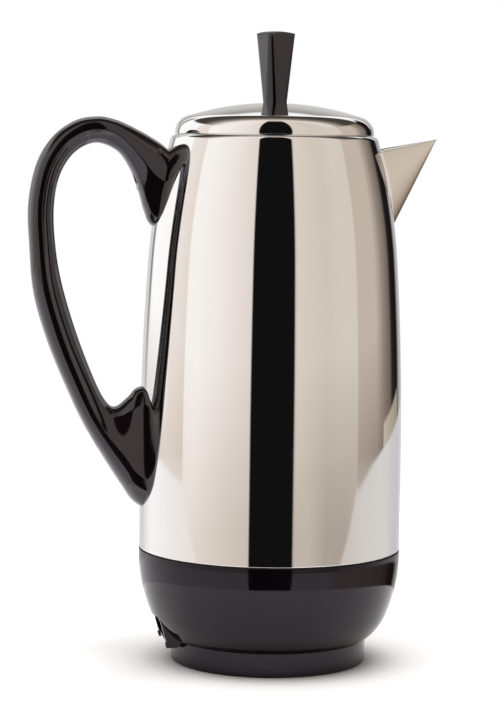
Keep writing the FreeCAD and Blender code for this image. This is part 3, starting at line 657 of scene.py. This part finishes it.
# The outside from the shoulder down, as corners (radius, height, bend)
WALL = [
    (48.9, VESSEL_TOP, -3.2), (51.98, 261.67, -297.5), (62.43, 201.7, -1400), (VESSEL_WIDEST, 105),
    (VESSEL_WIDEST, WALL_LOW),
]
VESSEL_FOOT = [
    (60.5, WALL_LOW), (60.5, 52, -2.8), (57.7, 49.2), (20, 49.2), (20, 50), (57.7, 50, 2), (59.7, 52),
    (59.7, 58.2),
]
VESSEL_INSIDE = [
    (64.95, 58.2), (64.95, 105, 1399.2), (61.63, 201.64, 296.7), (51.82, 259.39, 5.2), (46.8, 263.2),
    (46, 263.2),
]
VESSEL_EDGE = 0.22
# The strainer behind the spout: its rows, its lowest row's height, its pitch and its holes' radius
STRAINER_ROWS = 4
STRAINER_LOW = 235
STRAINER_PITCH = 5.2
STRAINER_HOLE = 1.3


def wall_radius(height):
    """The radius of the vessel's outside at that height."""
    points = outline(WALL)
    for (r0, z0), (r1, z1) in zip(points, points[1:]):
        if z1 <= height <= z0 and z0 > z1:
            return r1 + (r0 - r1) * (height - z1) / (z0 - z1)
    return points[0][0] if height > points[0][1] else points[-1][0]


def make_vessel():
    """The drawn steel body, open in the middle of its floor, with the strainer's holes behind the spout."""
    bm = bmesh.new()
    turned(bm, soften(outline([(46, VESSEL_TOP)] + WALL + VESSEL_FOOT + VESSEL_INSIDE), VESSEL_EDGE))
    vessel = loose_object("vessel_wall", bm)
    holes = bmesh.new()
    for row in range(STRAINER_ROWS):
        z = STRAINER_LOW + STRAINER_PITCH * row * 0.87
        for column in range(row + 2):
            y = STRAINER_PITCH * (column - (row + 1) / 2)
            bar(holes, (40, y, z), (75, y, z), STRAINER_HOLE, 20)
    cut(vessel, [holes])
    finish_piece(vessel, "polished_steel", "vessel", "vessel_shell")


# ------------------------------------------------------------------ spout

# The tip (x, z), and where a cheek's rim (x, y, z) and the keel (x, z) meet the wall
SPOUT_TIP = (82.9, 262.9)
SPOUT_RIM = (46.8, 21.5, 255.6)
SPOUT_KEEL = (60.9, 217.1)
SPOUT_BULGE = 0.105  # how far a cheek crowns outwards, as a share of its width
SPOUT_BACK = 34  # the beak's sides are straight lines from the tip to its outline on this plane
CHEEK_STEPS = 40
FOLD_STEPS = 8  # the steps of the rounded keel, which takes the cheek's last points
FOLD_TAKES = 3
SPOUT_ROWS = 24
SHEET = 0.7
WELD = 0.45
MIRROR = Vector((1, -1, 1))


def spout_section():
    """The beak's outline on its back plane, from the near rim round the keel to the far rim."""
    tip = Vector((SPOUT_TIP[0], 0, SPOUT_TIP[1]))
    rim = Vector((SPOUT_RIM[0], -SPOUT_RIM[1], SPOUT_RIM[2]))
    keel = Vector((SPOUT_KEEL[0], 0, SPOUT_KEEL[1]))
    near, low = [tip + (p - tip) * ((tip.x - SPOUT_BACK) / (tip.x - p.x)) for p in (rim, keel)]
    width = (low - near).length
    out = Vector((0, -(low.z - near.z), low.y - near.y)).normalized()
    if out.y > 0:
        out.negate()
    cheek = []
    for k in range(CHEEK_STEPS):
        t = k / CHEEK_STEPS
        crown = 2.6 * t**1.7 * (1 - t)  # fullest on the keel's side
        cheek.append(near.lerp(low, t) + out * width * SPOUT_BULGE * crown)
    fold = []
    a, b = cheek[-FOLD_TAKES], cheek[-FOLD_TAKES] * MIRROR
    for k in range(FOLD_STEPS + 1):
        t = k / FOLD_STEPS
        fold.append(a * (1 - t) ** 2 + low * 2 * t * (1 - t) + b * t**2)
    cheek = cheek[:-FOLD_TAKES]
    return cheek + fold + [p * MIRROR for p in reversed(cheek)]


def reach_wall(tip, back, sunk):
    """The point on the line from the tip to the back point that lies that far inside the wall."""
    low, high = 0.0, 1.0
    for _ in range(40):
        middle = (low + high) / 2
        point = tip.lerp(back, middle)
        if math.hypot(point.x, point.y) > wall_radius(point.z) - sunk:
            low = middle
        else:
            high = middle
    return tip.lerp(back, low)


def make_spout():
    """A folded beak with crowned cheeks, its keel rounded, and the thin weld where it meets the wall."""
    tip = Vector((SPOUT_TIP[0], 0, SPOUT_TIP[1]))
    section = spout_section()
    ends = [reach_wall(tip, back, 0.3) for back in section]
    bm = bmesh.new()
    rows = []
    for step in range(1, SPOUT_ROWS + 1):
        share = (step / SPOUT_ROWS) ** 1.15
        rows.append([bm.verts.new(tip.lerp(end, share) * MM) for end in ends])
    nose = bm.verts.new(tip * MM)
    for k in range(len(ends) - 1):
        bm.faces.new((nose, rows[0][k + 1], rows[0][k]))
        for low, high in zip(rows, rows[1:]):
            bm.faces.new((low[k], low[k + 1], high[k + 1], high[k]))
    spout = loose_object("spout_beak", bm)
    # The sheet is open, so its outside can come out as its inside: the near cheek has to face -y.
    if spout.data.polygons[len(spout.data.polygons) // 4].normal.y > 0:
        spout.data.flip_normals()
    finish_piece(spout, "polished_steel", "vessel", "spout", sharp=60)
    thick = spout.modifiers.new("sheet", "SOLIDIFY")
    thick.thickness = SHEET * MM
    thick.offset = -1
    weld = [reach_wall(tip, back, 0.05) for back in section]
    curve = bpy.data.curves.new("spout_weld", "CURVE")
    curve.dimensions = "3D"
    curve.bevel_depth = WELD * MM
    curve.bevel_resolution = 3
    curve.use_fill_caps = True
    line = curve.splines.new("POLY")
    line.points.add(len(weld) - 1)
    for point, place in zip(line.points, weld):
        point.co = (*(place * MM), 1)
    curve.materials.append(MATERIALS["polished_steel"])
    seam = bpy.data.objects.new("spout_weld", curve)
    scene.collection.objects.link(seam)
    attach(seam, "vessel")


# ------------------------------------------------------------------ lid and knob

# The dome's section, as corners (radius, height, bend)
LID = [
    (2.1, 280.3, -140), (43.5, 273.4, -8.64), (49.6, 265.1), (49.6, 264.1), (48.8, 264.1),
    (48.8, 265.1, 7.84), (43.25, 272.64, 139.2), (2.1, 279.5),
]
LID_EDGE = 0.3


def make_lid():
    """The dome with its rolled edge, and the hole for the knob's screw."""
    bm = bmesh.new()
    turned(bm, soften(outline(LID), LID_EDGE))
    finish_piece(loose_object("lid_dome", bm), "polished_steel", "lid", "lid_shell")


# The knob's foot and top: across the flats, and the corners' radius
KNOB_FOOT = (11.3, 5)
KNOB_TOP = (15.25, 2.2)
KNOB_LOW = 280.1
KNOB_HEIGHT = 35.5
KNOB_CROWN = 1.6
KNOB_TURN = math.radians(20)
KNOB_EDGE = 0.45
KNOB_LEVELS = 28
KNOB_CORNER_STEPS = 8
KNOB_FLAT_STEPS = 6
KNOB_EDGE_STEPS = 5


def knob_ring(share, drawn_in=0.0):
    """The knob's round-cornered square at a share of its height, as points (x, y)."""
    side = KNOB_FOOT[0] + (KNOB_TOP[0] - KNOB_FOOT[0]) * share - 2 * drawn_in
    corner = max(KNOB_FOOT[1] + (KNOB_TOP[1] - KNOB_FOOT[1]) * share - drawn_in, 0.3)
    flat = side / 2 - corner
    points = []
    for quarter in range(4):
        middle = Matrix.Rotation(quarter * math.pi / 2 + KNOB_TURN, 2)
        for k in range(KNOB_CORNER_STEPS + 1):
            turn = math.pi / 2 * k / KNOB_CORNER_STEPS
            bend = Vector((flat + corner * math.cos(turn), flat + corner * math.sin(turn)))
            points.append(middle @ bend)
        for k in range(1, KNOB_FLAT_STEPS):
            points.append(middle @ Vector((flat - 2 * flat * k / KNOB_FLAT_STEPS, side / 2)))
    return points


def make_knob():
    """The flared knob: round at its foot, square at its crowned top, with a soft edge."""
    reach = KNOB_TOP[0] / math.sqrt(2)
    ball = (reach**2 + KNOB_CROWN**2) / (2 * KNOB_CROWN)

    def crown(point):
        """The height of the crowned top over a point (x, y)."""
        return KNOB_LOW + KNOB_HEIGHT - ball + math.sqrt(ball**2 - point.length_squared)

    loops = []
    for level in range(KNOB_LEVELS):
        rise = level / (KNOB_LEVELS - 1)
        ring = knob_ring(level / KNOB_LEVELS)
        loops.append([(*p, KNOB_LOW + (crown(p) - KNOB_EDGE - KNOB_LOW) * rise) for p in ring])
    for k in range(1, KNOB_EDGE_STEPS + 1):
        turn = math.pi / 2 * k / KNOB_EDGE_STEPS
        ring = knob_ring(1, KNOB_EDGE * (1 - math.cos(turn)))
        loops.append([(*p, crown(p) - KNOB_EDGE * (1 - math.sin(turn))) for p in ring])
    for inward in (1.6, 3.2, 4.8, 6.2):
        ring = [p * (1 - inward / 7.6) for p in knob_ring(1, KNOB_EDGE)]
        loops.append([(*p, crown(p)) for p in ring])
    bm = bmesh.new()
    bridged(bm, loops)
    finish_piece(loose_object("knob", bm), "phenolic", "lid", "lid_knob", sharp=50)


# ------------------------------------------------------------------ handle

# Stations from the upper root to the lower one: the outer and the inner point (x, z), the half width, the
# share of the depth where the back ends in a crease, the share where the flank ends, and how much of the
# half width is left there.
HANDLE = (
    ((-44, 248), (-50, 217), 10, 0.41, 0.88, 0.88),
    ((-55.5, 258.1), (-61.4, 218.6), 10.4, 0.42, 0.88, 0.86),
    ((-61.9, 262.3), (-65.2, 226), 10.6, 0.44, 0.87, 0.82),
    ((-67.5, 265.4), (-68.1, 236), 10.6, 0.46, 0.85, 0.78),
    ((-74, 268.6), (-71.9, 245.7), 10.6, 0.48, 0.83, 0.74),
    ((-80.5, 271), (-78.2, 254.7), 10.5, 0.49, 0.82, 0.72),
    ((-88.6, 272.2), (-87.7, 259), 10.5, 0.5, 0.82, 0.72),
    ((-99.6, 270), (-95.8, 257), 10.5, 0.5, 0.82, 0.72),
    ((-110.6, 262), (-102.6, 251), 10.6, 0.5, 0.82, 0.72),
    ((-118.6, 248.6), (-107.6, 241), 10.7, 0.5, 0.82, 0.72),
    ((-122.5, 229), (-109.8, 227), 10.8, 0.5, 0.82, 0.72),
    ((-121.9, 208.5), (-109, 209), 10.8, 0.5, 0.82, 0.72),
    ((-119.6, 184.5), (-105.7, 190), 10.9, 0.5, 0.82, 0.72),
    ((-112.3, 159.8), (-98.4, 165.6), 11, 0.5, 0.82, 0.72),
    ((-102.3, 135.8), (-89.2, 142), 11.4, 0.5, 0.82, 0.72),
    ((-94, 118.6), (-83.3, 131.2), 12, 0.46, 0.82, 0.72),
    ((-85, 103.6), (-78.4, 128.6), 13.2, 0.4, 0.83, 0.7),
    ((-76.2, 90), (-72, 133.6), 14.4, 0.33, 0.84, 0.66),
    ((-69.4, 80.6), (-67.6, 138), 14.8, 0.28, 0.85, 0.6),
    ((-58, 74), (-57, 139.6), 14, 0.26, 0.86, 0.56),
)
STATION_STEPS = 8
FLANK_STEPS = 8
CREASE_ROUND = 0.55
FLANK_SCOOP = 0.35
# Each screw's height, and its bracket's web, its head's seat and its hole's mouth along x
HANDLE_SCREWS = ((240, -64.2, -66.4, -76), (112, -73.4, -77, -100))
BRACKET_HALF = (5.2, 7.2)  # half of the pocket's width and height
SCREW_HOLE = 2.3
HEAD_HOLE = 4.2


def through(points, parts):
    """A smooth run through the points, with that many steps between two of them."""
    ends = [2 * points[0] - points[1]] + list(points) + [2 * points[-1] - points[-2]]
    run = []
    for a, b, c, d in zip(ends, ends[1:], ends[2:], ends[3:]):
        for k in range(parts):
            t = k / parts
            bend, twist = 2 * a - 5 * b + 4 * c - d, 3 * b - a - 3 * c + d
            run.append((2 * b + (c - a) * t + bend * t**2 + twist * t**3) / 2)
    return run + [points[-1]]


def handle_half(depth, half, crease, flank, narrowed):
    """One side of a section from its back's middle to its inside's middle, as (depth, width) points."""
    back = through([Vector(p) for p in ((0, 0), (0.1 * crease, 0.5), (0.44 * crease, 0.9), (crease, 1))], 4)
    rest = 1 - flank
    inside = [(flank, narrowed), (1 - 0.2 * rest, 0.56 * narrowed), (1, 0)]
    inside = through([Vector(p) for p in inside], 5)
    back, inside = [[Vector((p.x * depth, p.y * half)) for p in run] for run in (back, inside)]
    a, b = back[-1], inside[0]
    normal = Vector((b.y - a.y, a.x - b.x)).normalized()
    side = []
    for k in range(1, FLANK_STEPS):
        t = k / FLANK_STEPS
        side.append(a.lerp(b, t) + normal * FLANK_SCOOP * math.sin(math.pi * t))

    def eased(before, corner, after):
        """The corner's rounding, as points."""
        back_by, on_by = before - corner, after - corner
        start = corner + back_by.normalized() * min(CREASE_ROUND, back_by.length * 0.45)
        end = corner + on_by.normalized() * min(CREASE_ROUND, on_by.length * 0.45)
        shares = (0, 0.25, 0.5, 0.75, 1)
        return [start * (1 - t) ** 2 + corner * 2 * t * (1 - t) + end * t**2 for t in shares]

    return back[:-1] + eased(back[-2], a, side[0]) + side + eased(side[-1], b, inside[1]) + inside[1:]


def handle_loops():
    """The handle's sections along a smooth run through its stations."""
    rows = [Vector((*outer, *inner)) for outer, inner, *shape in HANDLE]
    shapes = [Vector(shape) for outer, inner, *shape in HANDLE]
    loops = []
    for ends, shape in zip(through(rows, STATION_STEPS), through(shapes, STATION_STEPS)):
        outer, inner = Vector((ends[0], 0, ends[1])), Vector((ends[2], 0, ends[3]))
        inward = (inner - outer).normalized()
        half = handle_half((inner - outer).length, *shape)
        near = [outer + inward * p.x + Vector((0, -p.y, 0)) for p in half]
        far = [outer + inward * p.x + Vector((0, p.y, 0)) for p in half[-2:0:-1]]
        loops.append(near + far)
    return loops


def make_handle():
    """The loop handle, cut back to the wall, with its brackets' pockets and its screws' holes."""
    bm = bmesh.new()
    bridged(bm, handle_loops())
    handle = loose_object("handle_grip", bm)
    envelope = bmesh.new()
    turned(envelope, [(0, VESSEL_TOP)] + outline(WALL)[:-1] + [(VESSEL_WIDEST, WALL_LOW), (0, WALL_LOW)])
    tools = [envelope]
    wide, tall = BRACKET_HALF
    for z, web, seat, mouth in HANDLE_SCREWS:
        tools.append(block(bmesh.new(), (web - 0.2, -wide, z - tall), (-40, wide, z + tall)))
        tools.append(bar(bmesh.new(), (web + 1, 0, z), (seat - 1, 0, z), SCREW_HOLE))
        tools.append(bar(bmesh.new(), (seat, 0, z), (mouth, 0, z), HEAD_HOLE))
    cut(handle, tools)
    finish_piece(handle, "phenolic", "vessel", "handle")


# ------------------------------------------------------------------ the scene

scene.view_settings.view_transform = "Standard"
make_camera()
make_world()
make_lights()
MATERIALS = make_materials()
make_floor(MATERIALS["floor"])
for row in frame["record"]["subparts"]:
    NODES[row["node"]].material_slots[0].material = MATERIALS[row["material_slot"]]
make_vessel()
make_spout()
make_lid()
make_knob()
make_handle()
